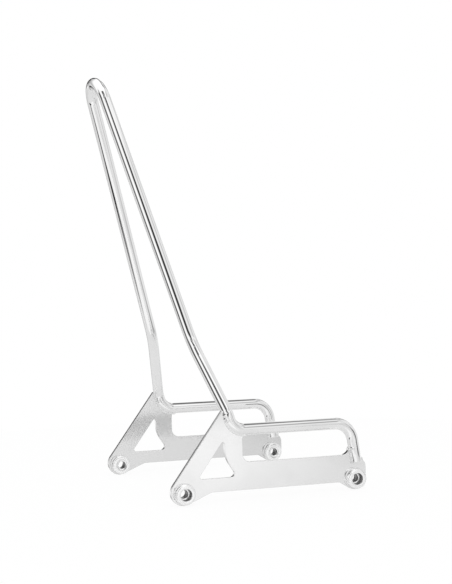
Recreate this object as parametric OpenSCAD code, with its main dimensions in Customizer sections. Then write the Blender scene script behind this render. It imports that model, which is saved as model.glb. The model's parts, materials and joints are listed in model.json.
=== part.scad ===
// Low hoop backrest for the rear of a motorcycle seat.
// One bent round bar, two flat side plates, a bored boss at each end of each
// plate, and the weld beads that join them.
// Millimetres. +X points to the front of the machine, +Y to its left, +Z up.
// The origin is on the middle plane, at the foot of the plates, halfway along
// the whole length.

/* [Bar] */

// diameter of the round bar
bar_d = 12.7; // [9:0.1:18]
// angle by which the upright hoop leans back from the vertical
lean = 15.7; // [4:0.1:30]
// overall height, from the foot of the plates to the top of the hoop
top_h = 466.2; // [360:0.1:700]
// centreline radius of the bend at the very top
top_bend_r = 25.4; // [18:0.1:45]
// height of the crook where the two legs turn to run almost side by side
crook_h = 166.2; // [140:0.1:230]
// half the spacing of the legs at the crook, to the bar's centreline
crook_half = 72.2; // [50:0.1:95]
// centreline radius of the bend at the crook
crook_r = 80; // [40:1:100]
// straight length between the heel bend and the bend where the legs start to
// lean inwards
tuck_gap = 1.6; // [1.2:0.1:12]
// centreline radius of that inward bend
tuck_r = 17; // [14:0.5:20]
// height of the rail's centreline at its rear corner
rail_h = 76.2; // [70:0.1:78]
// distance from the rear bore forward to the rail's rear corner
rail_rear = 57.7; // [50:0.1:75]
// centreline radius of the bend from the rail into the upright
heel_r = 17; // [13:0.1:17.5]
// distance from the front bore back to the rail's front corner
rail_front = 3.2; // [0:0.1:12]
// centreline radius of the bend at the rail's front corner
toe_r = 22; // [14:0.5:28]
// angle by which the short front leg leans forward on its way down
leg_rake = 8; // [0:0.1:15]
// height at which the front leg ends, above the front boss
leg_end_h = 30.4; // [28:0.1:34]
// angle by which rail, slot and lower edge fall towards the front
fall = 0.9; // [0:0.1:2]

/* [Plates] */

// distance between the middle planes of the two plates
plate_gap = 240; // [180:1:300]
// thickness of each plate
plate_t = 5; // [4:0.1:8]
// distance between the rear bore and the front bore
bore_pitch = 200; // [180:0.5:260]
// height of the bores' axis above the foot of the plates
bore_h = 12.4; // [11.5:0.1:14]
// slope of the plate's rear edge
slant = 52.9; // [48:0.1:56]
// corner radius around the rear boss
rear_foot_r = 14; // [13:0.1:15]
// corner radius around the front boss
front_foot_r = 13.3; // [12.5:0.1:15]
// slope of the lower edge where it rises from the rear foot
rear_rise = 21.4; // [16:0.1:28]
// slope of the lower edge where it drops to the front foot
front_drop = 31.3; // [24:0.1:38]
// height of the level lower edge, taken above the rear bore
lower_edge_h = 12; // [9:0.1:14]
// height of the shoulder in front of the front leg
shoulder_h = 33.9; // [33:0.1:36]

/* [Openings in the plates] */

// distance from the rear bore to the rear end of the long slot
slot_rear = 67.8; // [66:0.1:74]
// height of the slot's floor, taken above the rear bore
slot_floor_h = 42; // [38:0.1:46]
// corner radius at the rear of the slot's floor
slot_rear_r = 9; // [5:0.1:11]
// corner radius at the front of the slot's floor
slot_front_r = 10.5; // [6:0.1:12]
// radius where the plate runs out under the rail
slot_top_r = 5.5; // [3:0.1:6]
// width of the plate's rear strip, behind the three-sided window
strip_w = 19.6; // [17:0.1:23]
// height of the window's lower edge, taken above the rear bore
window_floor_h = 26.8; // [24:0.1:30]
// distance from the rear bore to the window's upright front side
window_front = 47.2; // [44:0.1:50]
// height at which the window's front side starts to slope forward
window_bow_h = 47; // [44:0.1:50]
// slope of the lower half of that front side
window_slope = 56.3; // [52:0.1:60]
// radius of the bow between the two halves
window_bow_r = 35; // [20:1:40]

/* [Bosses] */

// outside diameter of each boss
boss_d = 22; // [19:0.1:22.6]
// length of each boss, through the plate
boss_l = 19; // [15:0.1:26]
// diameter of the bolt bore
bore_d = 9; // [6.6:0.1:11]
// diameter of the recess for the bolt's head, on the outer end
recess_d = 12.7; // [12:0.1:16]
// depth of that recess
recess_l = 8.5; // [4:0.1:9]
// bevel on the boss's outer edges
boss_bevel = 1.1; // [0.4:0.1:1.6]

/* [Weld beads] */

// radius of the bead between bar and plate
bead_r = 2.1; // [1.5:0.1:2.6]
// size of the bead around each boss
boss_bead = 1.2; // [0.8:0.1:1.3]

/* [Hidden] */

steel = [0.80, 0.81, 0.83];
plate_tone = [0.76, 0.77, 0.79];
boss_tone = [0.84, 0.85, 0.87];
weld_tone = [0.70, 0.71, 0.73];

// how far an arc passes the straight edges it rounds, and a joint of the bar
// stands proud of it, so that their surfaces cross cleanly
hair = 0.004;
joint_up = 0.02;
joint_tilt = 40;
bar_r = bar_d / 2;
half = plate_gap / 2;
// where the bar's round surface crosses a plate face, from the bar's axis
chord = sqrt(bar_r * bar_r - plate_t * plate_t / 4);

// 2-D helpers: heading, crossing of two lines, unit vector
function head(a) = [cos(a), sin(a)];
function meet(p, a, q, b) = p + head(a) * cross(q - p, head(b)) / cross(head(a), head(b));
function unit(v) = v / norm(v);

// bar: heights and lengths, measured from the rear bore
function rail_z(x) = rail_h - tan(fall) * (x - rail_rear);
function lean_x(z) = rail_rear - tan(lean) * (z - rail_h);
toe_x = bore_pitch - rail_front;
toe_z = rail_z(toe_x);
leg_end_x = toe_x + tan(leg_rake) * (toe_z - leg_end_h);
// the inward bend follows the heel bend up the leaning line, and its own length
// along that line depends on how far below the crook it comes out
heel_take = heel_r * tan((90 - lean - fall) / 2);
rise = (crook_h - rail_h) / cos(lean);
function tuck_turn(take) = atan2(half - crook_half, rise - heel_take - tuck_gap - take);
function settle(take, n) = n == 0 ? take : settle(tuck_r * tan(tuck_turn(take) / 2), n - 1);
tuck_take = settle(0, 12);
tuck_h = rail_h + cos(lean) * (heel_take + tuck_gap + tuck_take);
// the hoop above the crook, in its own leaning plane
crown = (top_h - bar_r - crook_h) / cos(lean);
crown_c = crown - top_bend_r;
crown_d = norm([crown_c, crook_half]);
splay = atan2(crook_half, crown_c) - asin(top_bend_r / crown_d);
apex_z = crook_h + cos(lean) * crook_half / tan(splay);
top_x = lean_x(top_h - bar_r);

// whole length, for the origin
x_low = top_x - bar_r;
x_high = bore_pitch + 0.3 + front_foot_r;
x_mid = (x_low + x_high) / 2;

function leg_end(s) = [leg_end_x, s * half, leg_end_h];
function toe(s) = [toe_x, s * half, toe_z];
function heel(s) = [rail_rear, s * half, rail_h];
function tuck(s) = [lean_x(tuck_h), s * half, tuck_h];
function crook(s) = [lean_x(crook_h), s * crook_half, crook_h];
apex = [lean_x(apex_z), 0, apex_z];

// angle a path turns through at b, and the length its bend takes off each side
function turn(a, b, c) = acos(unit(b - a) * unit(c - b));
function take(a, b, c, r) = r * tan(turn(a, b, c) / 2);
function off(from, to, d) = from + unit(to - from) * d;

module rod(p, q, r) {
    v = q - p;
    translate(p)
        rotate([0, acos(v[2] / norm(v)), atan2(v[1], v[0])])
            cylinder(h = norm(v), r = r, $fn = 32);
}

module bend(a, b, c, big, r) {
    u = unit(a - b);
    w = unit(c - b);
    ang = turn(a, b, c);
    mid = unit(u + w);
    ez = unit(cross(w, u));
    tip = acos(ez[2]);
    spin = atan2(ez[1], ez[0]);
    x1 = [cos(tip) * cos(spin), cos(tip) * sin(spin), -sin(tip)];
    y1 = [-sin(spin), cos(spin), 0];
    base = atan2(-mid * y1, -mid * x1);
    translate(b + mid * big / cos(ang / 2))
        rotate([0, tip, spin])
            rotate([0, 0, base - ang / 2])
                rotate_extrude(angle = ang, $fn = 72)
                    translate([big, 0])
                        circle(r = r, $fn = 32);
}

// a hair proud of the bar, so that a straight and a bend grow together; its
// poles lie inside the bar
module joint(p, q, r) {
    v = q - p;
    translate(p)
        rotate([0, acos(v[2] / norm(v)), atan2(v[1], v[0])])
            rotate([joint_tilt, 0, 0])
                sphere(r = r + joint_up, $fn = 32);
}

// corners of the bar's path and the radius of the bend at each, from the front
// end of the leg on side s over the top to the other front end
function path(s) = [leg_end(s), toe(s), heel(s), tuck(s), crook(s), apex, crook(-s), tuck(-s), heel(-s), toe(-s), leg_end(-s)];
bends = [0, toe_r, heel_r, tuck_r, crook_r, top_bend_r, crook_r, tuck_r, heel_r, toe_r, 0];

// part k of the bar: a straight, a joint, a bend, a joint, and so on
module length_of_bar(p, k) {
    i = floor(k / 4);
    j = i + 1;
    at_i = i > 0 ? take(p[i - 1], p[i], p[j], bends[i]) : 0;
    at_j = j < len(p) - 1 ? take(p[i], p[j], p[j + 1], bends[j]) : 0;
    if (k % 4 == 0)
        rod(off(p[i], p[j], at_i), off(p[j], p[i], at_j), bar_r);
    if (k % 4 == 1)
        joint(off(p[j], p[i], at_j), p[j], bar_r);
    if (k % 4 == 2)
        bend(p[i], p[j], p[j + 1], bends[j], bar_r);
    if (k % 4 == 3)
        joint(off(p[j], p[j + 1], at_j), p[j], bar_r);
}

// the bar grows one part at a time, each joined to all before it
module bar(p, last) {
    if (last > 0)
        bar(p, last - 1);
    length_of_bar(p, last);
}

// flat shape whose corners [x, y, r] are true arcs, listed anticlockwise
module rounded(c) {
    n = len(c);
    v = [for (i = [0:n - 1]) [c[i][0], c[i][1]]];
    u = [for (i = [0:n - 1]) unit(v[(i + n - 1) % n] - v[i])];
    w = [for (i = [0:n - 1]) unit(v[(i + 1) % n] - v[i])];
    h = [for (i = [0:n - 1]) acos(u[i] * w[i]) / 2];
    difference() {
        union() {
            polygon([for (i = [0:n - 1]) for (k = (c[i][2] > 0 ? [u[i], w[i]] : [[0, 0]])) v[i] + k * c[i][2] / tan(h[i])]);
            for (i = [0:n - 1])
                if (c[i][2] > 0 && cross(u[i], w[i]) < 0)
                    translate(v[i] + unit(u[i] + w[i]) * c[i][2] / sin(h[i]))
                        circle(r = c[i][2] + hair, $fn = 64);
        }
        for (i = [0:n - 1])
            if (c[i][2] > 0 && cross(u[i], w[i]) > 0)
                translate(v[i] + unit(u[i] + w[i]) * c[i][2] / sin(h[i]))
                    circle(r = c[i][2] + hair, $fn = 96);
    }
}

function cor(p, r) = [p[0], p[1], r];

module outline() {
    rc = [-0.7, rear_foot_r];
    fc = [bore_pitch + 0.3, front_foot_r];
    back = rc + rear_foot_r * [-sin(slant), cos(slant)];
    rise = rc + rear_foot_r * [sin(rear_rise), -cos(rear_rise)];
    drop = fc + front_foot_r * [-sin(front_drop), -cos(front_drop)];
    low = [0, lower_edge_h];
    nose = fc + [front_foot_r, 0];
    floor0 = [0, slot_floor_h];
    // lines that run inside the bar's own width
    leg0 = [leg_end_x, leg_end_h];
    leg_in = leg0 + (chord - 0.8) * [-cos(leg_rake), -sin(leg_rake)];
    under = [rail_rear, rail_h - chord + 0.7];
    heel_in = [rail_rear, rail_h] + [cos(45), sin(45)] * heel_r * 0.2;
    edge_end = meet(back, slant, [lean_x(tuck_h) - (bar_r + 0.1) / cos(lean), tuck_h], 90 + lean);
    slot_back = meet([slot_rear, 0], 90, under, -fall);
    rounded([
        cor(meet(back, slant, rise, rear_rise), rear_foot_r),
        cor(meet(rise, rear_rise, low, -fall), 10),
        cor(meet(low, -fall, drop, -front_drop), 8),
        cor(meet(drop, -front_drop, nose, 90), front_foot_r),
        cor([nose[0], shoulder_h], 9),
        cor([leg0[0] - tan(leg_rake) * (shoulder_h - leg_end_h), shoulder_h], 0),
        cor([leg0[0] - tan(leg_rake) * (slot_floor_h + 16 - leg_end_h), slot_floor_h + 16], 0),
        cor(meet(leg_in, 90 + leg_rake, [0, slot_floor_h + 15], 0), 0),
        cor(meet(leg_in, 90 + leg_rake, floor0, -fall), slot_front_r),
        cor(meet([slot_rear, 0], 90, floor0, -fall), slot_rear_r),
        cor(slot_back, slot_top_r),
        cor([slot_rear + 12, under[1] - tan(fall) * (slot_rear + 12 - rail_rear)], 0),
        cor([slot_rear + 12, rail_z(slot_rear + 12)], 0),
        cor(heel_in, 0),
        cor([lean_x(tuck_h), tuck_h], 0),
        cor(edge_end, 0)
    ]);
}

module window() {
    rc = [-0.7, rear_foot_r];
    left = rc + (strip_w - rear_foot_r) * [sin(slant), -cos(slant)];
    sill = [0, window_floor_h];
    bow = [window_front, window_bow_h];
    rounded([
        cor(meet(left, slant, sill, -fall), 2.5),
        cor(meet(sill, -fall, bow, -window_slope), 4),
        cor(bow, window_bow_r),
        cor(meet(bow, 90, left, slant), 2)
    ]);
}

// a flat shape stood up in a plate's own plane
module upright(s, t) {
    translate([0, s * half, 0])
        rotate([90, 0, 0])
            linear_extrude(height = t, center = true)
                children();
}

module plate(s) {
    difference() {
        upright(s, plate_t)
            difference() {
                outline();
                window();
                for (x = [0, bore_pitch])
                    translate([x, bore_h])
                        circle(d = boss_d, $fn = 64);
            }
        bar(path(s), 12);
    }
}

// a boss about its own axis: outer end at +boss_l/2
module boss_body() {
    o = boss_d / 2;
    e = boss_l / 2;
    rotate_extrude($fn = 64)
        polygon([
            [bore_d / 2, -e],
            [o - boss_bevel, -e],
            [o, -e + boss_bevel],
            [o, e - boss_bevel],
            [o - boss_bevel, e],
            [recess_d / 2 + 0.5, e],
            [recess_d / 2, e - 0.5],
            [recess_d / 2, e - recess_l],
            [bore_d / 2, e - recess_l]
        ]);
}

module boss(s, x) {
    translate([x, s * half, bore_h])
        rotate([-90 * s, 0, 0])
            boss_body();
}

// ring of weld around a boss, on both faces of the plate
module boss_ring(s, x) {
    for (f = [-1, 1])
        translate([x, s * half + f * plate_t / 2, bore_h])
            rotate([-90 * f, 0, 0])
                rotate_extrude($fn = 64)
                    translate([boss_d / 2, 0])
                        intersection() {
                            circle(r = boss_bead, $fn = 24);
                            square(boss_bead + 1);
                        }
}

// weld profile in the corner between the bar and both faces of a plate that
// lies on its +x side
module corner_weld() {
    for (f = [-1, 1])
        difference() {
            translate([chord, f * plate_t / 2])
                circle(r = bead_r, $fn = 32);
            circle(r = bar_r, $fn = 96);
            translate([0, -plate_t / 2])
                square([bar_d, plate_t]);
        }
}

// weld profile below the flat end of the front leg
module end_weld() {
    for (f = [0, 180])
        rotate(f == 0 ? 180 : 0)
            mirror([f / 180, 0])
                translate([0, plate_t / 2])
                    intersection() {
                        circle(r = bead_r, $fn = 32);
                        square(bead_r + 1);
                    }
}

// straight run of weld in a plate's plane, from point p along angle a
module run(s, p, a, length) {
    translate([p[0], s * half, p[1]])
        rotate([90, 0, 0])
            rotate([0, 0, a])
                rotate([90, 0, 90])
                    linear_extrude(height = length)
                        children();
}

// curved run of weld round the outside of the heel
module heel_run(s, skip) {
    u = head(-fall);
    w = head(90 + lean);
    ang = 90 - lean - fall;
    c = [rail_rear, rail_h] + unit(u + w) * heel_r / cos(ang / 2);
    translate([c[0], s * half, c[1]])
        rotate([90, 0, 0])
            rotate([0, 0, 180 + lean + skip])
                rotate_extrude(angle = ang - 2 * skip, $fn = 96)
                    translate([heel_r, 0])
                        corner_weld();
}

module welds(s) {
    tail = slot_rear + 4 - rail_rear;
    foot = [leg_end_x, leg_end_h];
    heel_run(s, 2);
    run(s, [rail_rear, rail_h] + head(-fall) * tail, 180 - fall, tail - heel_take - 0.6)
        corner_weld();
    run(s, foot + head(90 + leg_rake) * 0.4, 90 + leg_rake, 16)
        corner_weld();
    run(s, foot + head(90 + leg_rake) * 2.6, 270 + leg_rake, 2.2)
        corner_weld();
    run(s, foot - head(leg_rake) * 5, leg_rake, 10)
        end_weld();
    boss_ring(s, 0);
    boss_ring(s, bore_pitch);
}

module hoop() {
    color(steel)
        translate([-x_mid, 0, 0])
            bar(path(-1), 36);
}

module plate_right() {
    color(plate_tone)
        translate([-x_mid, 0, 0])
            plate(-1);
}

module plate_left() {
    color(plate_tone)
        translate([-x_mid, 0, 0])
            plate(1);
}

module boss_rear_right() {
    color(boss_tone)
        translate([-x_mid, 0, 0])
            boss(-1, 0);
}

module boss_front_right() {
    color(boss_tone)
        translate([-x_mid, 0, 0])
            boss(-1, bore_pitch);
}

module boss_rear_left() {
    color(boss_tone)
        translate([-x_mid, 0, 0])
            boss(1, 0);
}

module boss_front_left() {
    color(boss_tone)
        translate([-x_mid, 0, 0])
            boss(1, bore_pitch);
}

module welds_right() {
    color(weld_tone)
        translate([-x_mid, 0, 0])
            welds(-1);
}

module welds_left() {
    color(weld_tone)
        translate([-x_mid, 0, 0])
            welds(1);
}

hoop();
plate_right();
plate_left();
boss_rear_right();
boss_front_right();
boss_rear_left();
boss_front_left();
welds_right();
welds_left();
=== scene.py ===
# %% [markdown]
# A low chromed backrest hoop for the rear of a motorcycle seat.
# One round bar is bent into the hoop and its two side rails. Each side has a
# flat cut-out plate, with a bored boss at its two feet, and weld beads hold
# the three together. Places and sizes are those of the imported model, in
# metres, and this lesson dresses it: finer shapes, a chrome that has something
# to reflect, and the camera of the photograph.

import json
import math
import random

import bmesh
import bpy
from mathutils import Matrix, Vector

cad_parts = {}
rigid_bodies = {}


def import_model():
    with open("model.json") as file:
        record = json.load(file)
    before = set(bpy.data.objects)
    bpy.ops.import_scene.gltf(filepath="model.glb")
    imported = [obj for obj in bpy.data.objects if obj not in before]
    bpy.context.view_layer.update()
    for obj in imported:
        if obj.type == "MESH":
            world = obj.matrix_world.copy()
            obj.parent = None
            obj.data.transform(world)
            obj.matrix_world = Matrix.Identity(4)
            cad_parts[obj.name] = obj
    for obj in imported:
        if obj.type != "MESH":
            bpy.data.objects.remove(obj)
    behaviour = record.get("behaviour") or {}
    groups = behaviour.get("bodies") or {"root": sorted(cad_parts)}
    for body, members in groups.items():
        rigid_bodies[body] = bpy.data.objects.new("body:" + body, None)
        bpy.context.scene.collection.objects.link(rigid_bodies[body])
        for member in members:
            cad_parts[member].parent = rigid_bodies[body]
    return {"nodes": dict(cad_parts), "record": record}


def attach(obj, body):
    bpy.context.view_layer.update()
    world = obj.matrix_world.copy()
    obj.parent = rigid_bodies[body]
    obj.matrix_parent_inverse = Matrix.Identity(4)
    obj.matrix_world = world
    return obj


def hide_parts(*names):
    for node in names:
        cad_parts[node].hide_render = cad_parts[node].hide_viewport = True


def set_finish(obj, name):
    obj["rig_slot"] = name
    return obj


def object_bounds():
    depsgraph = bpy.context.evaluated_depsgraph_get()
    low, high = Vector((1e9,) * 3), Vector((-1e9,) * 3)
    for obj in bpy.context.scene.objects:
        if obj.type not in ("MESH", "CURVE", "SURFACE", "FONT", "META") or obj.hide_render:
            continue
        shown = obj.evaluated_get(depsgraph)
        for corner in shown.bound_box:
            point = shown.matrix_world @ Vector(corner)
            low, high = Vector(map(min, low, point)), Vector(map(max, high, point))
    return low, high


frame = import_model()
cad_low, cad_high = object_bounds()
MM = 0.001
print("nodes:", sorted(frame["nodes"]))


def box_mm(low, high):
    return [[round(v / MM, 2) for v in low], [round(v / MM, 2) for v in high]]


bpy.context.scene.view_settings.view_transform = "Standard"
print("box in mm:", box_mm(cad_low, cad_high))

# %% [markdown]
# The camera first, because every later choice is judged through it.
# Its place and turn were solved from points that show on both plates. It
# stands behind the right side, 1.6 m away, and looks a little down.

# %% Camera
# the height of the photograph, its longer side
IMAGE_H = 584
FOCAL_PX = 1383.208
camera_data = bpy.data.cameras.new("camera")
camera_data.sensor_width = 36.0
camera_data.lens = FOCAL_PX * camera_data.sensor_width / IMAGE_H
camera = bpy.data.objects.new("camera", camera_data)
bpy.context.scene.collection.objects.link(camera)
right = Vector((0.93497476, -0.35335873, -0.03098064))
up = Vector((0.03923395, 0.01621594, 0.99909846))
turned = Matrix((right, up, right.cross(up))).transposed()
camera.matrix_world = Matrix.Translation((-0.544772, -1.503103, 0.267424)) @ turned.to_4x4()
camera_data.clip_start, camera_data.clip_end = 0.05, 50
bpy.context.scene.camera = camera
print("lens", round(camera_data.lens, 2), "mm")

# %% [markdown]
# Shader maths as plain Python. `Socket` wraps one output of a node, and its
# operators add Math nodes, so a mask reads like the sum on paper. `Shader`
# wraps a node tree, and its `add` makes any other node from its type, its
# settings and the values of its sockets.

# %% Shader maths


class Socket:
    """One output of a node, usable in sums."""

    def __init__(self, shader, output):
        self.shader, self.output = shader, output

    def math(self, operation, other=0.0, swap=False):
        pair = (other, self) if swap else (self, other)
        return self.shader.add("ShaderNodeMath", {"operation": operation}, {0: pair[0], 1: pair[1]})

    def __add__(self, other):
        return self.math("ADD", other)

    __radd__ = __add__

    def __mul__(self, other):
        return self.math("MULTIPLY", other)

    __rmul__ = __mul__

    def __sub__(self, other):
        return self.math("SUBTRACT", other)

    def __rsub__(self, other):
        return self.math("SUBTRACT", other, swap=True)

    def abs(self):
        return self.math("ABSOLUTE")

    def at_least(self, other):
        return self.math("MAXIMUM", other)

    def step(self, start, end):
        """0 up to start and 1 from end, with a smooth rise between them."""
        rising = start < end
        low, high = (start, end) if rising else (end, start)
        settings = {"interpolation_type": "SMOOTHSTEP", "clamp": True}
        values = {"Value": self, "From Min": low, "From Max": high}
        out = self.shader.add("ShaderNodeMapRange", settings, values, "Result")
        return out if rising else 1 - out


class Shader:
    """A node tree, started empty, with one method that adds a node."""

    def __init__(self, owner):
        owner.use_nodes = True
        self.tree = owner.node_tree
        self.tree.nodes.clear()

    def add(self, kind, settings=None, values=None, out=0):
        node = self.tree.nodes.new(kind)
        for name, value in (settings or {}).items():
            setattr(node, name, value)
        for name, value in (values or {}).items():
            if isinstance(value, Socket):
                self.tree.links.new(value.output, node.inputs[name])
            else:
                node.inputs[name].default_value = value
        return Socket(self, node.outputs[out]) if len(node.outputs) else node

    def mix(self, factor, a, b):
        """One colour turning into another."""
        settings = {"data_type": "RGBA"}
        return self.add("ShaderNodeMix", settings, {"Factor": factor, 6: a, 7: b}, 2)

    def along(self, vector, direction):
        """How far a vector reaches along a direction, as a number."""
        settings = {"operation": "DOT_PRODUCT"}
        return self.add("ShaderNodeVectorMath", settings, {0: vector, 1: direction}, "Value")


def grey(level):
    return (level, level, level, 1)


# %% [markdown]
# Chrome has no colour of its own: it shows the room. The room is not in the
# photograph, so this white tent is made up. The long lines on the bars are
# strips of its sky, each from one direction to another, with a width, a
# softness and a depth, which is negative where a strip is brighter than the
# tent. The first 29 strips and the tent's levels were fitted by least squares
# to the tones on the bar in the photograph, and the last five were set one by
# one. Only reflections see them: the camera sees plain white, and what lights
# the object is an even, plain sky.

# %% The tent's dark strips
# azimuth and elevation of both ends, half width, softness, depth; degrees
STRIPS = [
    (-124.4, -7.4, -91.9, 24, 10.2, 6.2, 0.97),
    (-122.3, 14.3, -120.3, 47.4, 4.8, 1, 0.97),
    (-137, 30.7, -93.4, 45.4, 7, 1, 0.78),
    (-130, 12.9, -94.3, 38.3, 3.1, 1, 0.89),
    (170.8, 9.7, 177.2, -16.3, 15.7, 2, 0.84),
    (172.3, 20.4, -166.6, -2.9, 6.7, 6.7, 0.96),
    (-178.1, -23.6, -142.2, -32.3, 1.4, 1, 0.97),
    (16.9, 63.1, 11.7, 50, 10.3, 2.1, 0.54),
    (-21.6, 69.5, 50, 51.1, 3.8, 1.9, 0.71),
    (42.5, 59.3, 83.6, 6.3, 4.1, 4.1, 0.97),
    (84.1, 44.7, 97, -11.1, 6.4, 1.2, 0.93),
    (110.8, 20.6, 92.4, -35, 3.4, 3.4, 0.62),
    (42.5, 41.9, 55.8, 5.2, 9, 1, 0.65),
    (-66.4, 30.3, -38.5, 51.5, 4.2, 4.2, 0.62),
    (-71.6, 8.6, 45, 4.6, 15.9, 1, 0.19),
    (-48.3, -10.9, 4.7, -8.2, 3.9, 3.9, 0.49),
    (-62.3, 17.7, -64.4, -11.6, 2.7, 2.3, 0.13),
    (-36.5, 28.8, -30.1, -6.8, 7, 1, 0.32),
    (-41.7, 19.2, -36.3, -35.8, 19.5, 1, 0.11),
    (-55.1, 5.1, 35.2, 63.9, 6.6, 1, 0.11),
    (7.2, 20.5, 33.8, -19.4, 15, 1.3, 0.09),
    (-98.7, 6, -56.7, -8.6, 2.1, 1, 0.46),
    (-55.2, 45.8, 26.6, 29.4, 16.1, 1, 0.22),
    (-48, 43.5, -37, 88.3, 8.7, 1, -0.19),
    (92.7, 43.4, 137.3, -13, 12.8, 12, 0.52),
    (73.6, 46.2, 59, 9.6, 10.6, 1, 0.18),
    (-153.6, -26.7, -83.3, -31.1, 9.9, 1, -0.28),
    (-63.5, -11.1, -111.3, -5.2, 3.1, 1, 0.15),
    (-153.6, -29.3, 169.7, -27.1, 2.5, 1.5, 0.93),
    (69, 23.5, 107, 23.5, 5, 2, 0.95),
    (96, 12.5, 106, 12.5, 5, 3, 0.85),
    (-74, 5, -74, -20, 5, 5, -0.08),
    (-79, -5.8, -65, -6.2, 1.6, 1.4, -0.15),
    (-149.5, -31.8, 178, -30.6, 2.2, 1.2, 0.9),
]
FLOOR_LEVEL, WALL_LEVEL, ROOF_LEVEL = 0.76, 1.05, 1.10
# heights in the sky, from -1 to 1, where floor turns to wall and wall to roof
FLOOR_TO_WALL, WALL_TO_ROOF = (-0.26, -0.14), (0.5, 0.9)
# softness of the cut that keeps a strip on its own half of the sky
HALF_SKY_EDGE = 0.02


def towards_sky(azimuth, elevation):
    """Unit vector of a direction, azimuth from +X towards +Y."""
    a, e = math.radians(azimuth), math.radians(elevation)
    return Vector((math.cos(e) * math.cos(a), math.cos(e) * math.sin(a), math.sin(e)))


def dark_strip(w, view, strip):
    """1 inside a strip of sky and 0 outside it."""
    az_a, el_a, az_b, el_b, half_width, softness, depth = strip
    a, b = towards_sky(az_a, el_a), towards_sky(az_b, el_b)
    across = a.cross(b).normalized()
    middle = (a + b).normalized()
    lengthways = across.cross(middle)
    reach = abs(a.dot(lengthways))
    wide, soft = math.radians(half_width), math.radians(softness)
    mask = w.along(view, across).abs().step(wide + soft, wide - soft)
    mask = mask * w.along(view, lengthways).abs().step(reach + soft, reach - soft)
    return mask * w.along(view, middle).step(0.0, HALF_SKY_EDGE) * depth


# %% World
PLAIN_SKY = 0.95


def camera_ray(shader):
    """1 where the camera itself looks."""
    return shader.add("ShaderNodeLightPath", out="Is Camera Ray")


def mirrored_ray(shader):
    """1 where a reflection looks, or a view through something clear."""
    glossy = shader.add("ShaderNodeLightPath", out="Is Glossy Ray")
    return glossy.at_least(shader.add("ShaderNodeLightPath", out="Is Transmission Ray"))


world = bpy.data.worlds.new("white_tent")
bpy.context.scene.world = world
w = Shader(world)
view = w.add("ShaderNodeTexCoord", out="Generated")
height = w.along(view, (0, 0, 1))
seen = height.step(*FLOOR_TO_WALL) * (WALL_LEVEL - FLOOR_LEVEL) + FLOOR_LEVEL
seen = height.step(*WALL_TO_ROOF) * (ROOF_LEVEL - WALL_LEVEL) + seen
for strip in STRIPS:
    seen = seen * (1 - dark_strip(w, view, strip))
tent = w.add("ShaderNodeBackground", values={"Color": grey(1), "Strength": seen})
plain = w.add("ShaderNodeBackground", values={"Color": grey(1), "Strength": 1.0})
soft = w.add("ShaderNodeBackground", values={"Color": grey(1), "Strength": PLAIN_SKY})
lit = w.add("ShaderNodeMixShader", values={0: mirrored_ray(w), 1: soft, 2: tent})
shown = w.add("ShaderNodeMixShader", values={0: camera_ray(w), 1: lit, 2: plain})
w.add("ShaderNodeOutputWorld", values={"Surface": shown})
print(len(STRIPS), "strips in", len(w.tree.nodes), "nodes")

# %% [markdown]
# A round pale table stands in for the floor. The camera sees it as white as
# the backdrop, the chrome mostly sees the tent through it, and both keep some
# of the object's soft shadow.

# %% Floor and lamp
TABLE_R, TABLE_GREY = 0.62, 0.86
# how white the camera sees the table, and how clear the chrome sees it
SEEN_WHITE, SEEN_CLEAR = 0.93, 0.8
LAMP_AT, LAMP_TILT = (-0.3, -0.5, 1.7), (18, -8, 0)
LAMP_SIZE, LAMP_POWER = 1.6, 7.0
bpy.ops.mesh.primitive_circle_add(
    vertices=96, radius=TABLE_R, fill_type="NGON", location=(0, 0, cad_low.z)
)
floor = bpy.context.active_object
floor.name = "floor"
floor_paint = bpy.data.materials.new("pale_table")
s = Shader(floor_paint)
matt = s.add("ShaderNodeBsdfDiffuse", values={"Color": grey(TABLE_GREY)})
white = s.add("ShaderNodeEmission", values={"Color": grey(1), "Strength": 1.0})
clear = s.add("ShaderNodeBsdfTransparent", values={"Color": grey(1)})
for_chrome = s.add(
    "ShaderNodeMixShader", values={0: mirrored_ray(s) * SEEN_CLEAR, 1: matt, 2: clear}
)
for_camera = s.add(
    "ShaderNodeMixShader", values={0: camera_ray(s) * SEEN_WHITE, 1: for_chrome, 2: white}
)
s.add("ShaderNodeOutputMaterial", values={"Surface": for_camera})
floor.data.materials.append(floor_paint)

bpy.ops.object.light_add(type="AREA", location=LAMP_AT)
lamp = bpy.context.active_object
lamp.data.shape = "DISK"
lamp.data.size = LAMP_SIZE
lamp.data.energy = LAMP_POWER
lamp.visible_glossy = False
lamp.rotation_euler = [math.radians(a) for a in LAMP_TILT]
print("table radius", TABLE_R, "m, lamp", LAMP_POWER, "W from", LAMP_AT)

# %% [markdown]
# The front leg has a dark line of its own, which no far strip can give: the
# same direction shows bright on the far side's bar. So something dark probably
# stood close to it. A dark card, placed by trial, does the same here, and only
# reflections see it.

# %% A dark card beside the front leg
CARD_AT, CARD_SIZE = (0.247, -0.212, 0.05), (0.075, 0.1, 1)
CARD_TURN, CARD_GREY = 55, 0.2
bpy.ops.object.select_all(action="DESELECT")
bpy.ops.mesh.primitive_plane_add(
    size=1, location=CARD_AT, rotation=(math.radians(90), 0, math.radians(CARD_TURN))
)
card = bpy.context.active_object
card.name = "dark_card"
card.scale = CARD_SIZE
card.visible_camera = card.visible_diffuse = card.visible_shadow = False
card_paint = bpy.data.materials.new("dark_card")
s = Shader(card_paint)
dark = s.add("ShaderNodeEmission", values={"Color": grey(CARD_GREY), "Strength": 1.0})
s.add("ShaderNodeOutputMaterial", values={"Surface": dark})
card.data.materials.append(card_paint)
print("card", CARD_SIZE[:2], "m at", CARD_AT)

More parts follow.
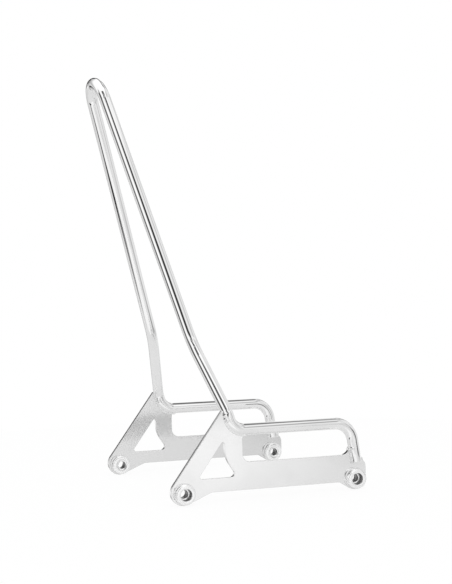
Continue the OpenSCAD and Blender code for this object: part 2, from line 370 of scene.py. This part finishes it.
# %% [markdown]
# The bar is one round rod, bent cold in nine places. A curve with a round bevel
# would be quick, but its bends are not true arcs and its ring spacing drifts.
# So it is made as the bender makes it: a ring of points is pushed along each
# straight and spun round each bend. Only the left half is modelled, and a
# Mirror modifier gives the other.

# %% The bar's corners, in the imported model's own sizes
REAR_BORE_X = -78.555 * MM
BAR_R = 6.35 * MM
HALF_GAP = 120 * MM
CROOK_HALF = 72.2 * MM
LEAN, FALL, RAKE = (math.radians(a) for a in (15.7, 0.9, 8.0))
RAIL_X, RAIL_Z = 57.7 * MM, 76.2 * MM
TUCK_Z, CROOK_Z, LEG_END_Z = 94.7504 * MM, 166.2 * MM, 30.4 * MM
TOE_X = 196.8 * MM
TOP_Z = 466.2 * MM
TOE_R, HEEL_R, TUCK_R, CROOK_R, TOP_R = (r * MM for r in (22, 17, 17, 80, 25.4))


def fresh():
    """Object mode with nothing selected, so an operator acts only on what comes next."""
    if bpy.context.object and bpy.context.object.mode != "OBJECT":
        bpy.ops.object.mode_set(mode="OBJECT")
    bpy.ops.object.select_all(action="DESELECT")


def leaning(z, y):
    """A point of the leaning line at height z."""
    return Vector((REAR_BORE_X + RAIL_X - math.tan(LEAN) * (z - RAIL_Z), y, z))


toe_z = RAIL_Z - math.tan(FALL) * (TOE_X - RAIL_X)
leg_end_x = TOE_X + math.tan(RAKE) * (toe_z - LEG_END_Z)
rise = (TOP_Z - BAR_R - CROOK_Z) / math.cos(LEAN) - TOP_R
splay = math.atan2(CROOK_HALF, rise) - math.asin(TOP_R / math.hypot(rise, CROOK_HALF))
apex_z = CROOK_Z + math.cos(LEAN) * CROOK_HALF / math.tan(splay)
corners = [
    (Vector((REAR_BORE_X + leg_end_x, HALF_GAP, LEG_END_Z)), 0),
    (Vector((REAR_BORE_X + TOE_X, HALF_GAP, toe_z)), TOE_R),
    (Vector((REAR_BORE_X + RAIL_X, HALF_GAP, RAIL_Z)), HEEL_R),
    (leaning(TUCK_Z, HALF_GAP), TUCK_R),
    (leaning(CROOK_Z, CROOK_HALF), CROOK_R),
    (leaning(apex_z, 0), TOP_R),
    (leaning(CROOK_Z, -CROOK_HALF), 0),
]
print("the bar's corners in mm:", [[round(v / MM, 1) for v in c] for c, r in corners])

# %% Push and spin the ring
RING_POINTS = 64
FEWEST_STEPS, DEGREES_A_STEP = 4, 4
START = corners[0][0]
heading = (corners[1][0] - START).normalized()
fresh()
bpy.ops.mesh.primitive_circle_add(
    vertices=RING_POINTS,
    radius=BAR_R,
    location=START,
    rotation=heading.to_track_quat("Z", "Y").to_euler(),
)
bar = bpy.context.active_object
bar.name = "bar"
bpy.ops.object.transform_apply(location=True, rotation=True, scale=True)
bpy.ops.object.mode_set(mode="EDIT")
bpy.ops.mesh.select_all(action="SELECT")
at = START
centreline = [at.copy()]
for (before, _), (corner, radius), (after, _) in zip(corners, corners[1:], corners[2:]):
    into, out = (corner - before).normalized(), (after - corner).normalized()
    angle = into.angle(out)
    begin = corner - into * radius * math.tan(angle / 2)
    bpy.ops.mesh.extrude_edges_move(TRANSFORM_OT_translate={"value": begin - at})
    middle = corner + (out - into).normalized() * radius / math.cos(angle / 2)
    if corner.y == 0:
        angle /= 2
    steps = max(FEWEST_STEPS, math.ceil(math.degrees(angle) / DEGREES_A_STEP))
    axis = into.cross(out).normalized()
    bpy.ops.mesh.spin(steps=steps, angle=-angle, center=middle, axis=axis)
    for k in range(steps + 1):
        centreline.append(middle + Matrix.Rotation(angle * k / steps, 3, axis) @ (begin - middle))
    at = centreline[-1]
print("half of the bar:", len(centreline), "places along it")

# %% Mirror it, close the two ends and round their rims
END_BEVEL = 0.7 * MM
bpy.ops.object.mode_set(mode="OBJECT")
bpy.ops.object.modifier_add(type="MIRROR")
mirror = bar.modifiers[-1]
mirror.use_axis = (False, True, False)
mirror.merge_threshold = 0.02 * MM
bpy.ops.object.modifier_apply(modifier=mirror.name)
bpy.ops.object.mode_set(mode="EDIT")
bpy.ops.mesh.select_all(action="SELECT")
bpy.ops.mesh.remove_doubles(threshold=0.01 * MM)
bpy.ops.mesh.select_all(action="DESELECT")
bpy.ops.mesh.select_mode(type="EDGE")
bpy.ops.mesh.select_non_manifold()
bpy.ops.mesh.edge_face_add()
bpy.ops.mesh.select_all(action="SELECT")
bpy.ops.mesh.normals_make_consistent(inside=False)
bpy.ops.mesh.select_all(action="DESELECT")
mesh = bmesh.from_edit_mesh(bar.data)
for face in mesh.faces:
    if len(face.verts) > 4:
        for edge in face.edges:
            edge.select = True
bmesh.update_edit_mesh(bar.data)
bpy.ops.mesh.bevel(offset=END_BEVEL, segments=3, affect="EDGES")
print("open edges:", sum(1 for e in bmesh.from_edit_mesh(bar.data).edges if not e.is_manifold))
bpy.ops.object.mode_set(mode="OBJECT")
bpy.ops.object.shade_smooth_by_angle(angle=math.radians(35))
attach(bar, "root")
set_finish(bar, "bar")
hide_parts("hoop")

# %% [markdown]
# The side plates were cut flat from 5 mm steel, and their edges were dressed
# before plating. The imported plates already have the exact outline, so a copy
# is merged, its flat triangles are dissolved to single faces, and the sharp
# rims get a small round. The rim along the bar's groove stays sharp, because
# the bar and the beads cover it.

# %% Side plates
RIM = 0.45 * MM
PLATE_T = 5 * MM
# how far a rim lies from the bar before it is rounded
BAR_MARGIN = 0.3 * MM
# a face's normal along y is under the first on an edge, over the second on a side
EDGE_FACE, SIDE_FACE = 0.1, 0.99


def distance_to_bar(p):
    """How far a point is from the bar's centreline on its own side."""
    q = Vector((p.x, abs(p.y), p.z))
    return min((q - near_point(q, a, b)).length for a, b in zip(centreline, centreline[1:]))


def near_point(q, a, b):
    """The point of the line from a to b that is nearest to q."""
    span = b - a
    along = max(0.0, min(1.0, (q - a).dot(span) / max(span.dot(span), 1e-12)))
    return a + span * along


def dress_plate(node, name):
    """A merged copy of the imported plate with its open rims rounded."""
    fresh()
    piece = bpy.data.objects.new(name, frame["nodes"][node].data.copy())
    bpy.context.scene.collection.objects.link(piece)
    piece.select_set(True)
    bpy.context.view_layer.objects.active = piece
    bpy.ops.mesh.customdata_custom_splitnormals_clear()
    bpy.ops.object.mode_set(mode="EDIT")
    bpy.ops.mesh.select_all(action="SELECT")
    bpy.ops.mesh.remove_doubles(threshold=0.002 * MM)
    bpy.ops.mesh.dissolve_limited(angle_limit=math.radians(0.5))
    bpy.ops.mesh.select_all(action="DESELECT")
    bpy.ops.mesh.select_mode(type="EDGE")
    mesh = bmesh.from_edit_mesh(piece.data)
    for edge in mesh.edges:
        sideways = sorted(abs(face.normal.y) for face in edge.link_faces)
        middle = (edge.verts[0].co + edge.verts[1].co) / 2
        is_rim = len(sideways) == 2 and sideways[0] < EDGE_FACE and sideways[1] > SIDE_FACE
        edge.select = is_rim and distance_to_bar(middle) > BAR_R + BAR_MARGIN
    bmesh.update_edit_mesh(piece.data)
    rims = sum(e.select for e in mesh.edges)
    bpy.ops.mesh.bevel(offset=RIM, segments=3, affect="EDGES")
    bpy.ops.object.mode_set(mode="OBJECT")
    bpy.ops.object.shade_smooth_by_angle(angle=math.radians(30))
    bpy.ops.object.modifier_add(type="WEIGHTED_NORMAL")
    piece.modifiers[-1].keep_sharp = True
    bpy.ops.object.modifier_apply(modifier=piece.modifiers[-1].name)
    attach(piece, "root")
    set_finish(piece, "plate")
    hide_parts(node)
    print(name, "has", len(piece.data.polygons), "faces and", rims, "rounded rim edges")


for side in ("right", "left"):
    dress_plate("plate_" + side, "side_plate_" + side)

# %% [markdown]
# Each boss is a turned bush with a bolt bore, a deeper recess for the bolt's
# head at its outer end, and bevelled rims. It is turned the same way here: one
# ring of points is pushed along the axis and grown or shrunk at each corner
# of the profile, round the outside and back through the bore.

# %% One turned boss
BOSS_POINTS = 96
# radius of each corner and its place along the axis, in mm; the recess for the
# bolt's head is at the far end
BOSS_PROFILE = [
    (4.5, -9.2), (4.8, -9.5), (9.9, -9.5), (10.45, -9.3), (10.8, -8.95), (11.0, -8.4),
    (11.0, 8.4), (10.8, 8.95), (10.45, 9.3), (9.9, 9.5), (6.95, 9.5), (6.6, 9.4),
    (6.35, 9.0), (6.35, 1.3), (6.2, 1.05), (5.9, 1.0), (4.7, 1.0), (4.5, 0.8),
]
BOSS_Z, BOSS_R = 12.4 * MM, 11 * MM
BORE_PITCH = 200 * MM
fresh()
start_r, start_y = BOSS_PROFILE[0]
bpy.ops.mesh.primitive_circle_add(
    vertices=BOSS_POINTS,
    radius=start_r * MM,
    location=(0, start_y * MM, 0),
    rotation=(math.radians(-90), 0, 0),
)
boss = bpy.context.active_object
bpy.ops.object.transform_apply(location=True, rotation=True, scale=True)
bpy.ops.object.mode_set(mode="EDIT")
bpy.ops.mesh.select_all(action="SELECT")
was_r, was_y = start_r, start_y
for r, y in BOSS_PROFILE[1:] + BOSS_PROFILE[:1]:
    bpy.ops.mesh.extrude_edges_move(TRANSFORM_OT_translate={"value": (0, (y - was_y) * MM, 0)})
    k = r / was_r
    bpy.ops.transform.resize(value=(k, 1, k), center_override=(0, y * MM, 0))
    was_r, was_y = r, y
bpy.ops.mesh.select_all(action="SELECT")
bpy.ops.mesh.remove_doubles(threshold=0.005 * MM)
bpy.ops.mesh.normals_make_consistent(inside=False)
print("boss open edges:", sum(1 for e in bmesh.from_edit_mesh(boss.data).edges if not e.is_manifold))
bpy.ops.object.mode_set(mode="OBJECT")
bpy.ops.object.shade_smooth_by_angle(angle=math.radians(50))

# %% A boss at each foot, its recess outwards
for end, x in (("rear", 0.0), ("front", BORE_PITCH)):
    for side, s in (("right", -1), ("left", 1)):
        fresh()
        piece = bpy.data.objects.new(f"turned_boss_{end}_{side}", boss.data.copy())
        bpy.context.scene.collection.objects.link(piece)
        turned_round = Matrix.Rotation(0 if s > 0 else math.pi, 4, "Z")
        place = Vector((REAR_BORE_X + x, s * HALF_GAP, BOSS_Z))
        piece.data.transform(Matrix.Translation(place) @ turned_round)
        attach(piece, "root")
        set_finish(piece, "boss")
        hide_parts(f"boss_{end}_{side}")
fresh()
bpy.data.objects.remove(boss)

# %% [markdown]
# A weld bead is a row of small puddles of metal, each laid on the last. One
# puddle is a flattened ball, and copies of it follow each seam a little out
# of step. Where a run stops against the bar, its last puddle is bigger and
# climbs onto it. A voxel remesh then melts them into one skin, as plating
# over a bead does, and a light smoothing softens it.

# %% A seam, as places along a line with the way that it runs
random.seed(7)
CHORD = math.sqrt(BAR_R**2 - (PLATE_T / 2) ** 2)
BEAD, RING_BEAD, PUDDLE = 1.75 * MM, 1.15 * MM, 1.45 * MM


def line_seam(start, end):
    """Places a puddle apart from start to end, with the direction of travel."""
    count = max(2, round((end - start).length / PUDDLE))
    return [(start.lerp(end, k / count), (end - start).normalized()) for k in range(count + 1)]


def arc_seam(middle, radius, first, last):
    """Places a puddle apart on an arc in the plate's plane, angles in degrees."""
    count = max(2, round(abs(math.radians(last - first)) * radius / PUDDLE))
    seam = []
    for k in range(count + 1):
        a = math.radians(first + (last - first) * k / count)
        way = Vector((-math.sin(a), 0, math.cos(a)))
        seam.append((middle + Vector((math.cos(a), 0, math.sin(a))) * radius, way))
    return seam


# %% The seams at the heel, at the front leg and round the bosses
UP_THE_BAR, UNDER_THE_RAIL = 8.5 * MM, 14.1 * MM
LEG_START, BEHIND_THE_LEG, BEFORE_THE_LEG = 0.4 * MM, 16.4 * MM, 2.6 * MM
HALF_LEG_END = 5 * MM
# the bead behind the leg is fuller, and the one across its end is finer
FULLER, FINER = 1.35, 0.8
# degrees that the heel's bead stops short, and where a boss's ring stops
HEEL_SHORT, RING_STOP = 2, 354


def heel_seams(heel, forward):
    """Round the heel bend, on up the bar, and forward under the rail."""
    upward = Vector((-math.sin(LEAN), 0, math.cos(LEAN)))
    turn = math.pi / 2 - LEAN - FALL
    middle = heel + (forward + upward).normalized() * HEEL_R / math.cos(turn / 2)
    lower = -math.degrees(FALL) - 90
    last = lower - math.degrees(turn) + HEEL_SHORT
    round_heel = arc_seam(middle, HEEL_R + CHORD, lower, last)
    top = round_heel[-1][0]
    onto = (middle - top).normalized()
    up_the_bar = line_seam(top, top + upward * UP_THE_BAR)
    run_out = heel + forward * UNDER_THE_RAIL
    begin = heel + forward * HEEL_R * math.tan(turn / 2)
    down = Vector((-forward.z, 0, forward.x)) * -CHORD
    under_rail = line_seam(begin + down, run_out + down)
    return [(round_heel, BEAD, onto), (up_the_bar, BEAD, onto), (under_rail, BEAD, None)]


def leg_seams(foot, up_leg):
    """Behind the front leg, before it, and across its lower end."""
    behind = Vector((up_leg.z, 0, -up_leg.x)) * -CHORD
    rear = line_seam(foot + behind + up_leg * LEG_START, foot + behind + up_leg * BEHIND_THE_LEG)
    front = line_seam(foot - behind + up_leg * LEG_START, foot - behind + up_leg * BEFORE_THE_LEG)
    across = Vector((up_leg.z, 0, -up_leg.x)) * HALF_LEG_END
    return [
        (rear, BEAD * FULLER, -behind.normalized()),
        (front, BEAD, None),
        (line_seam(foot - across, foot + across), BEAD * FINER, None),
    ]


def seams(s):
    """Each seam of side s: its places, bead size, and the last puddle's way onto the bar."""
    foot, toe, heel = (Vector((c.x, s * HALF_GAP, c.z)) for c, r in corners[:3])
    out = heel_seams(heel, (toe - heel).normalized()) + leg_seams(foot, (toe - foot).normalized())
    for x in (0, BORE_PITCH):
        centre = Vector((REAR_BORE_X + x, s * HALF_GAP, BOSS_Z))
        out.append((arc_seam(centre, BOSS_R, 0, RING_STOP), RING_BEAD, None))
    return out


print("seams on one side:", [len(places) for places, size, onto in seams(1)])

# %% Puddles along each seam, melted together
# a puddle's girth varies, its length and height are shares of the bead's size
GIRTHS, LENGTH, HEIGHT = (0.92, 1.08), 0.72, 0.95
# how far a puddle is out of step, in mm, and its tilt in degrees
SLIP, TILTS = 0.12, (18, 30)
# the last puddle is bigger, and moves outwards and onto the bar, in mm
LAST_GIRTH, LAST_OUT, LAST_ONTO = 1.2, 2.2, 2.4
VOXEL = 0.3 * MM
fresh()
bpy.ops.mesh.primitive_ico_sphere_add(subdivisions=2, radius=1)
puddle = bpy.context.active_object


def lay_puddles(s):
    """Puddles of side s along each seam, on both faces of the plate."""
    laid = []
    for places, size, onto in seams(s):
        for f in (-1, 1):
            for k, (place, way) in enumerate(places):
                at_end = onto and k == len(places) - 1
                across = way.cross(Vector((0, 1, 0)))
                turned = Matrix((across, way, Vector((0, f, 0)))).transposed().to_4x4()
                girth = size * random.uniform(*GIRTHS) * (LAST_GIRTH if at_end else 1.0)
                grown = Matrix.Diagonal((girth, size * LENGTH, girth * HEIGHT, 1))
                lift = place + Vector((0, f * PLATE_T / 2, 0))
                lift = lift + way * random.uniform(-SLIP, SLIP) * MM
                if at_end:
                    lift += (Vector((0, f * LAST_OUT, 0)) + onto * LAST_ONTO) * MM
                tilt = Matrix.Rotation(math.radians(random.uniform(*TILTS)), 4, "X")
                drop = bpy.data.objects.new("drop", puddle.data.copy())
                bpy.context.scene.collection.objects.link(drop)
                drop.matrix_world = Matrix.Translation(lift) @ turned @ tilt @ grown
                laid.append(drop)
    return laid


for side, s in (("right", -1), ("left", 1)):
    fresh()
    drops = lay_puddles(s)
    for drop in drops:
        drop.select_set(True)
    beads = drops[0]
    bpy.context.view_layer.objects.active = beads
    bpy.ops.object.join()
    beads.name = "weld_beads_" + side
    bpy.ops.object.transform_apply(location=True, rotation=True, scale=True)
    bpy.ops.object.modifier_add(type="REMESH")
    beads.modifiers[-1].mode = "VOXEL"
    beads.modifiers[-1].voxel_size = VOXEL
    bpy.ops.object.modifier_apply(modifier=beads.modifiers[-1].name)
    bpy.ops.object.modifier_add(type="SMOOTH")
    beads.modifiers[-1].iterations = 2
    bpy.ops.object.modifier_apply(modifier=beads.modifiers[-1].name)
    bpy.ops.object.shade_smooth()
    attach(beads, "root")
    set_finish(beads, "weld")
    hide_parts("welds_" + side)
    print(beads.name, "from", len(drops), "puddles:", len(beads.data.polygons), "faces")
fresh()
bpy.data.objects.remove(puddle)

# %% [markdown]
# Four finishes share one recipe. Fine marks from the polishing wheel vary the
# roughness, a slow wave in the surface bends the reflections a little, and a
# light haze takes off some of the shine. Plating barely reaches into a bore,
# between the plates or into the craters where a bead's runs end, so those
# places are rougher, and their colour is darkened as painted shade. The turned
# ends of the bosses keep fine rings. The craters were placed where the
# photograph shows dark specks.

# %% Where plating is thinner and shade is painted, and where a lathe left rings


# painted shade between the plates: their inner faces are darkened
def between_plates(s, place):
    """1 on the plates' inner faces."""
    return s.along(place, (0, 1, 0)).abs().step(HALF_GAP - 1.2 * MM, HALF_GAP - 2.2 * MM)


def from_axis(s, place):
    """Distance from the nearest boss axis; folding x serves both bosses."""
    x = (s.along(place, (1, 0, 0)) - (REAR_BORE_X + BORE_PITCH / 2)).abs() - BORE_PITCH / 2
    z = s.along(place, (0, 0, 1)) - BOSS_Z
    return (x * x + z * z).math("SQRT")


# painted shade in the bore and in the recess for the bolt's head
def down_the_bore(s, place):
    """1 on the walls of the bore and of the recess at its outer end."""
    r = from_axis(s, place)
    bore = r.step(4.65 * MM, 4.55 * MM)
    recess = r.step(6.1 * MM, 6.25 * MM) * r.step(6.6 * MM, 6.5 * MM)
    return bore.at_least(recess * 0.7)


def nowhere(s, place):
    """0 all over."""
    return s.along(place, (0, 0, 0))


# the craters are not in the beads' shape; their colour is darkened as painted shade
# each crater's place in the side view, X and Z, and its radius, in mm
CRATERS = [(-31.9, 93.9, 1.2), (-31.1, 89.4, 0.9), (116.6, 47.4, 1.1)]
# shares of that radius where a crater starts and where it is full
CRATER_START, CRATER_FULL = 1.3, 0.7


def craters(s, place):
    """1 in the small craters where a bead's runs end, on the outer side only."""
    holes = nowhere(s, place)
    for x_mm, z_mm, radius_mm in CRATERS:
        x = s.along(place, (1, 0, 0)) - x_mm * MM
        z = s.along(place, (0, 0, 1)) - z_mm * MM
        away = (x * x + z * z).math("SQRT")
        holes = holes.at_least(away.step(radius_mm * CRATER_START * MM, radius_mm * CRATER_FULL * MM))
    return holes * s.along(place, (0, 1, 0)).abs().step(HALF_GAP, HALF_GAP + 1 * MM)


RING_GAP = 0.3 * MM


def turned_rings(s, place):
    """Fine rings on the bosses' end faces, a ring gap apart."""
    ends = s.along(place, (0, 1, 0)).abs() - HALF_GAP
    ends = ends.abs().step(9.25 * MM, 9.45 * MM)
    return (from_axis(s, place) * (2 * math.pi / RING_GAP)).math("SINE") * ends * 0.5 + 0.5


print("craters in the beads, in mm:", CRATERS)


# %% Chrome for the four finishes
RING_HEIGHT = 0.004 * MM
# haze takes off some brightness, marks vary the roughness, thinner plating adds to it; painted shade
# darkens those thinner places
HAZE_LEVEL, MARKS_ROUGH, THIN_ROUGH = 0.96, 0.04, 0.2


def chrome(
    name, level, rough, wave, grain, shaded_thin_places=nowhere, painted_shade_level=1.0, rings=nowhere, satin=0.0
):
    """Bright plating with polishing marks, slow waves, haze, and rougher places whose colour is
    darkened as painted shade.
    """
    paint = bpy.data.materials.new(name)
    s = Shader(paint)
    place = s.add("ShaderNodeTexCoord", out="Object")
    haze = s.add("ShaderNodeTexNoise", values={"Vector": place, "Scale": 28.0, "Detail": 3.0})
    marks = s.add("ShaderNodeTexNoise", values={"Vector": place, "Scale": grain, "Detail": 2.0})
    bulge = s.add("ShaderNodeTexNoise", values={"Vector": place, "Scale": wave[0], "Detail": 1.0})
    relief = bulge * wave[1] + rings(s, place) * RING_HEIGHT
    bump = s.add("ShaderNodeBump", values={"Strength": 1.0, "Distance": 1.0, "Height": relief})
    shade_and_thin_here = shaded_thin_places(s, place)
    colour = s.mix(haze.step(0.35, 0.7), grey(level), grey(level * HAZE_LEVEL))
    # painted shade: bores, the plates' inner faces and the beads' craters are darkened in colour
    colour = s.mix(shade_and_thin_here, colour, grey(level * painted_shade_level))
    worn = shade_and_thin_here * (1 - painted_shade_level) * THIN_ROUGH
    metal = s.add(
        "ShaderNodeBsdfPrincipled",
        values={
            "Base Color": colour,
            "Metallic": 1.0 - satin,
            "Roughness": (marks - 0.5) * MARKS_ROUGH + worn + rough,
            "Normal": bump,
        },
    )
    s.add("ShaderNodeOutputMaterial", values={"Surface": metal})
    print(name, "has", len(s.tree.nodes), "nodes")
    return paint


# name, brightness, roughness, the wave's scale and height, the marks' scale
FINISHES = {
    "bar": chrome("bar_chrome", 0.95, 0.035, (9.0, 0.2 * MM), 900.0),
    # the plates' inner faces are darkened to 0.8 as painted shade
    "plate": chrome("plate_chrome", 0.95, 0.09, (6.0, 0.5 * MM), 700.0, between_plates, 0.8),
    # the bore and recess are darkened to 0.3 as painted shade
    "boss": chrome(
        "boss_chrome", 1.0, 0.16, (14.0, 0.3 * MM), 900.0, down_the_bore, 0.3, turned_rings, 0.25
    ),
    # the craters are darkened to 0.2 as painted shade
    "weld": chrome("weld_chrome", 0.95, 0.06, (40.0, 0.3 * MM), 1200.0, craters, 0.2),
}

# %% [markdown]
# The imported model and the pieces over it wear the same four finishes, so both
# can be shown. The record names each node's slot, and each piece carries the
# slot that it was given when it was made.

# %% Each node and each piece wears its finish


def finish_with(piece, slot):
    """The piece wears one finish only."""
    piece.data.materials.clear()
    piece.data.materials.append(FINISHES[slot])


for part in frame["record"]["subparts"]:
    finish_with(frame["nodes"][part["node"]], part["material_slot"])
for piece in [o for o in bpy.data.objects if o.get("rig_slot")]:
    finish_with(piece, piece["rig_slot"])
    print(piece.name, "wears", piece.data.materials[0].name)
